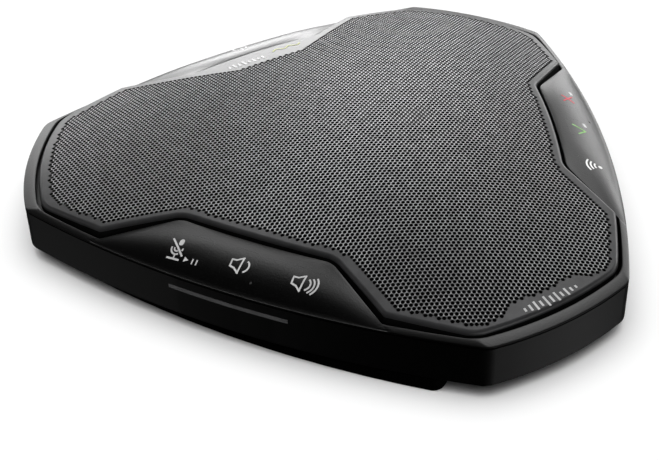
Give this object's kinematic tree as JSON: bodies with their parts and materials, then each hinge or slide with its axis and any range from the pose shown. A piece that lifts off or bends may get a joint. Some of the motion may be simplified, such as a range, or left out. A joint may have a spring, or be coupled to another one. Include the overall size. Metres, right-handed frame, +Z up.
{
  "type": "conference speakerphone",
  "caption": "Low three-lobed tabletop speakerphone: black base, grey bezel with raised key panels between the lobes, domed perforated metal grille.",
  "frame": {"origin": "on the table surface, under the middle of the domed grille and on the axis that the three lobes repeat about", "axes": "+Z up, -Y towards the front control panel, +X to the right of that panel"},
  "size_m": [0.1446, 0.1343, 0.0231],
  "materials": {
    "base_plastic": "fine satin moulded",
    "bezel_plastic": "fine matt texture",
    "grille_metal": "satin powder coat, perforated",
    "acoustic_fabric": "woven",
    "key_plastic": "fine matt texture with printed symbols",
    "deck_plastic": "moulded",
    "foot_rubber": "matt",
    "light_guide": "smoked translucent",
    "board": "solder mask",
    "switch_metal": "bright",
    "chip_plastic": "moulded",
    "microphone_metal": "plated",
    "shield_metal": "tinned",
    "basket_metal": "black",
    "magnet_metal": "plated",
    "cone_paper": "pressed",
    "coil_wire": "enamelled copper wire",
    "surround_rubber": "matt",
    "gasket_foam": "foam",
    "battery_wrap": "shrink wrap",
    "connector_metal": "plated",
    "tongue_plastic": "moulded",
    "screw_metal": "black zinc",
    "label_paper": "blank"
  },
  "bodies": {
    "case": {"base_housing": "base_plastic", "bezel": "bezel_plastic", "speaker_deck": "deck_plastic", "speaker_grille": "grille_metal", "acoustic_cloth": "acoustic_fabric", "speaker_basket": "basket_metal", "speaker_magnet": "magnet_metal", "speaker_surround": "surround_rubber", "speaker_gasket": "gasket_foam", "main_board": "board", "chips": "chip_plastic", "shield_can": "shield_metal", "usb_socket": "connector_metal", "usb_tongue": "tongue_plastic", "battery_pack": "battery_wrap", "battery_pad": "gasket_foam", "wireless_board": "board", "wireless_shield": "shield_metal", "case_screws": "screw_metal", "deck_screws": "screw_metal", "board_screws": "screw_metal", "speaker_screws": "screw_metal", "rating_label": "label_paper", "foot_front": "foot_rubber", "key_board_front": "board", "dome_switches_front": "switch_metal", "microphone_front": "microphone_metal", "light_bar_front": "light_guide", "led_board_front": "board", "foot_right": "foot_rubber", "key_board_right": "board", "dome_switches_right": "switch_metal", "microphone_right": "microphone_metal", "light_bar_right": "light_guide", "led_board_right": "board", "foot_left": "foot_rubber", "key_board_left": "board", "dome_switches_left": "switch_metal", "microphone_left": "microphone_metal", "light_bar_left": "light_guide", "led_board_left": "board"},
    "key_mute": {"key_mute": "key_plastic"},
    "key_volume_down": {"key_volume_down": "key_plastic"},
    "key_volume_up": {"key_volume_up": "key_plastic"},
    "key_end_call": {"key_end_call": "key_plastic"},
    "key_answer": {"key_answer": "key_plastic"},
    "key_wireless": {"key_wireless": "key_plastic"},
    "key_power": {"key_power": "key_plastic"},
    "cone": {"speaker_cone": "cone_paper", "dust_cap": "cone_paper", "voice_coil": "coil_wire"}
  },
  "joints": [
    {"name": "key_mute_press", "type": "slide", "parent": "case", "child": "key_mute", "axis": [0, 0, -1], "range_m": [0, 0.0003], "stiffness_N_per_m": 2000},
    {"name": "key_volume_down_press", "type": "slide", "parent": "case", "child": "key_volume_down", "axis": [0, 0, -1], "range_m": [0, 0.0003], "stiffness_N_per_m": 2000},
    {"name": "key_volume_up_press", "type": "slide", "parent": "case", "child": "key_volume_up", "axis": [0, 0, -1], "range_m": [0, 0.0003], "stiffness_N_per_m": 2000},
    {"name": "key_end_call_press", "type": "slide", "parent": "case", "child": "key_end_call", "axis": [0, 0, -1], "range_m": [0, 0.0003], "stiffness_N_per_m": 2000},
    {"name": "key_answer_press", "type": "slide", "parent": "case", "child": "key_answer", "axis": [0, 0, -1], "range_m": [0, 0.0003], "stiffness_N_per_m": 2000},
    {"name": "key_wireless_press", "type": "slide", "parent": "case", "child": "key_wireless", "axis": [0, 0, -1], "range_m": [0, 0.0003], "stiffness_N_per_m": 2000},
    {"name": "key_power_press", "type": "slide", "parent": "case", "child": "key_power", "axis": [0, 0, -1], "range_m": [0, 0.0003], "stiffness_N_per_m": 2000},
    {"name": "cone_excursion", "type": "slide", "parent": "case", "child": "cone", "axis": [0, 0, 1], "range_m": [-0.0008, 0.0008], "stiffness_N_per_m": 1500, "deforming": ["speaker_surround"]}
  ]
}
